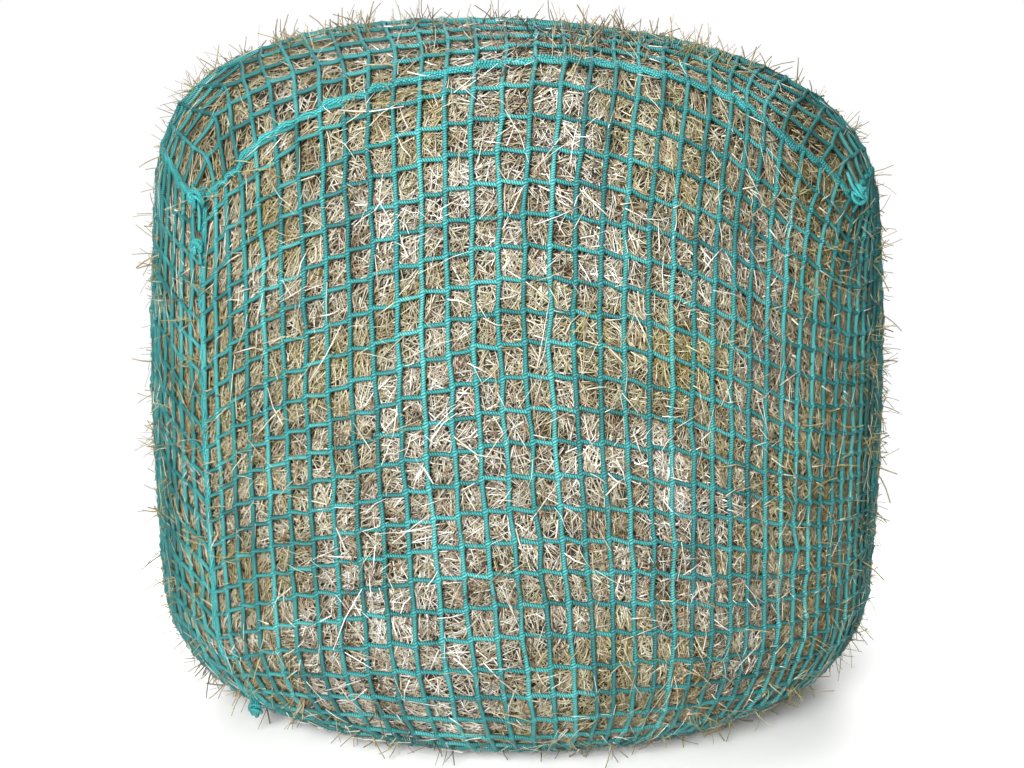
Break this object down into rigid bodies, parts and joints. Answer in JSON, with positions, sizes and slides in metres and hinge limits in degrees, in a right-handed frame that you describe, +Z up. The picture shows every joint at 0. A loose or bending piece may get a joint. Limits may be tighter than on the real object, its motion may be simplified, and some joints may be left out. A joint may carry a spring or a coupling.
{
  "type": "round bale hay net",
  "caption": "Square-mesh slow-feeding net with a square laced-on top panel, drawn tight over a round hay bale that stands on its end.",
  "frame": {"origin": "on the ground, under the middle of the standing bale", "axes": "+Z up along the bale's own axis, -Y towards the front, whose left corner carries the side seam; +X to the right seen from the front"},
  "size_m": [1.528, 1.528, 1.239],
  "materials": {
    "hay": "dry meadow hay, matt, with pale and greenish stalks",
    "net_twine": "braided knotless twine, satin",
    "lacing_cord": "braided cord, satin",
    "draw_rope": "braided rope, satin"
  },
  "bodies": {
    "root": {"hay_bale": "hay", "top_net": "net_twine", "side_net": "net_twine", "top_seam_cord_front": "lacing_cord", "top_seam_cord_right": "lacing_cord", "top_seam_cord_back": "lacing_cord", "top_seam_cord_left": "lacing_cord", "corner_knot_front_left": "lacing_cord", "corner_knot_front_right": "lacing_cord", "corner_knot_back_right": "lacing_cord", "corner_knot_back_left": "lacing_cord", "side_seam_cord_top": "lacing_cord", "side_seam_cord_wall": "lacing_cord", "side_seam_cord_sole": "lacing_cord", "side_seam_knot_high": "lacing_cord", "side_seam_knot_low": "lacing_cord", "mouth_edge_cord": "lacing_cord", "draw_rope": "draw_rope", "draw_rope_knot": "draw_rope"}
  },
  "joints": []
}
